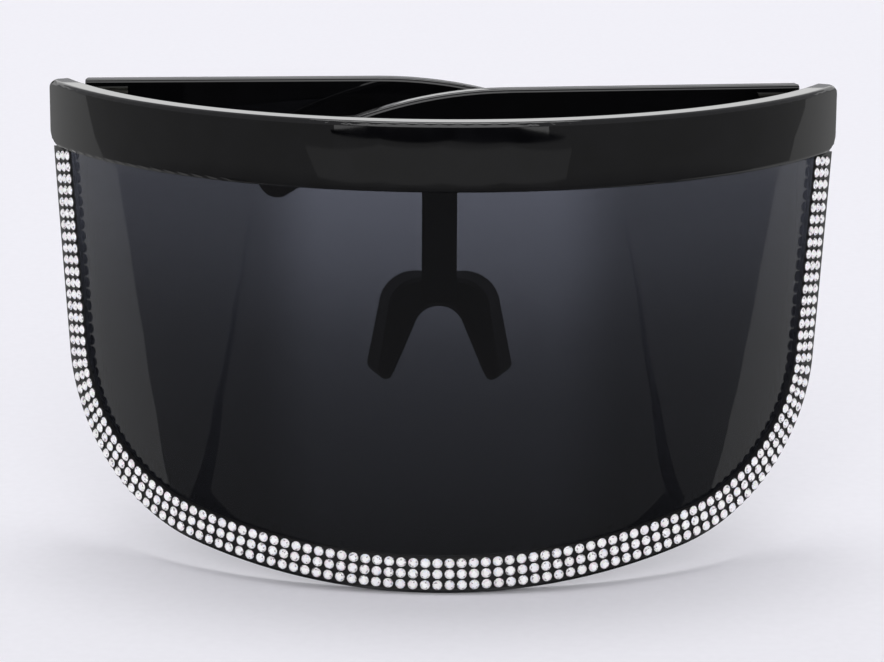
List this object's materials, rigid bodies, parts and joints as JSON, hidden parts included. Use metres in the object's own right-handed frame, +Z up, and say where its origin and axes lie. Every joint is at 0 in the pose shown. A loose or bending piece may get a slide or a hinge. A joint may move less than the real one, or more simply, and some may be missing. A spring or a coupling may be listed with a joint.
{
  "type": "shield sunglasses",
  "caption": "Oversized shield sunglasses with a curved one-piece smoke lens, a glossy brow bar, rhinestone banding round the lens, a nose saddle on a stem and folding temples.",
  "frame": {"origin": "the middle of the nose saddle's arch, on its underside, where it rests on the nose", "axes": "+X towards the wearer's left, -Y out of the front, +Z up as worn; the temples are folded at rest"},
  "size_m": [0.152, 0.0612, 0.0887],
  "materials": {
    "black_gloss_plastic": "polished black moulding",
    "smoke_lens": "polished dark smoke lens sheet",
    "saddle_rubber": "satin black",
    "hinge_steel": "plain",
    "banding": "black resin net",
    "rhinestone": "clear, faceted, foil back"
  },
  "bodies": {
    "front": {"brow_bar": "black_gloss_plastic", "shield_lens": "smoke_lens", "nose_stem": "black_gloss_plastic", "nose_stem_screws": "hinge_steel", "nose_saddle": "saddle_rubber", "left_front_hinge_leaf": "hinge_steel", "right_front_hinge_leaf": "hinge_steel", "left_front_hinge_rivets": "hinge_steel", "right_front_hinge_rivets": "hinge_steel", "left_hinge_screw": "hinge_steel", "right_hinge_screw": "hinge_steel", "left_side_strip": "banding", "right_side_strip": "banding", "left_corner_strip": "banding", "right_corner_strip": "banding", "bottom_strip": "banding", "left_side_stones": "rhinestone", "right_side_stones": "rhinestone", "left_corner_stones": "rhinestone", "right_corner_stones": "rhinestone", "bottom_stones": "rhinestone"},
    "left_temple_body": {"left_temple": "black_gloss_plastic", "left_temple_hinge_leaf": "hinge_steel", "left_temple_hinge_rivets": "hinge_steel"},
    "right_temple_body": {"right_temple": "black_gloss_plastic", "right_temple_hinge_leaf": "hinge_steel", "right_temple_hinge_rivets": "hinge_steel"}
  },
  "joints": [
    {"name": "right_temple_fold", "type": "hinge", "parent": "front", "child": "right_temple_body", "pos_m": [-0.0704, 0.03989, 0.02905], "axis": [0, 0, 1], "range_deg": [0, 95]},
    {"name": "left_temple_fold", "type": "hinge", "parent": "front", "child": "left_temple_body", "pos_m": [0.0704, 0.03989, 0.02905], "axis": [0, 0, -1], "range_deg": [0, 95]}
  ],
  "couplings": [
    {"joint": "left_temple_fold", "follows": "right_temple_fold", "ratio": 1}
  ]
}
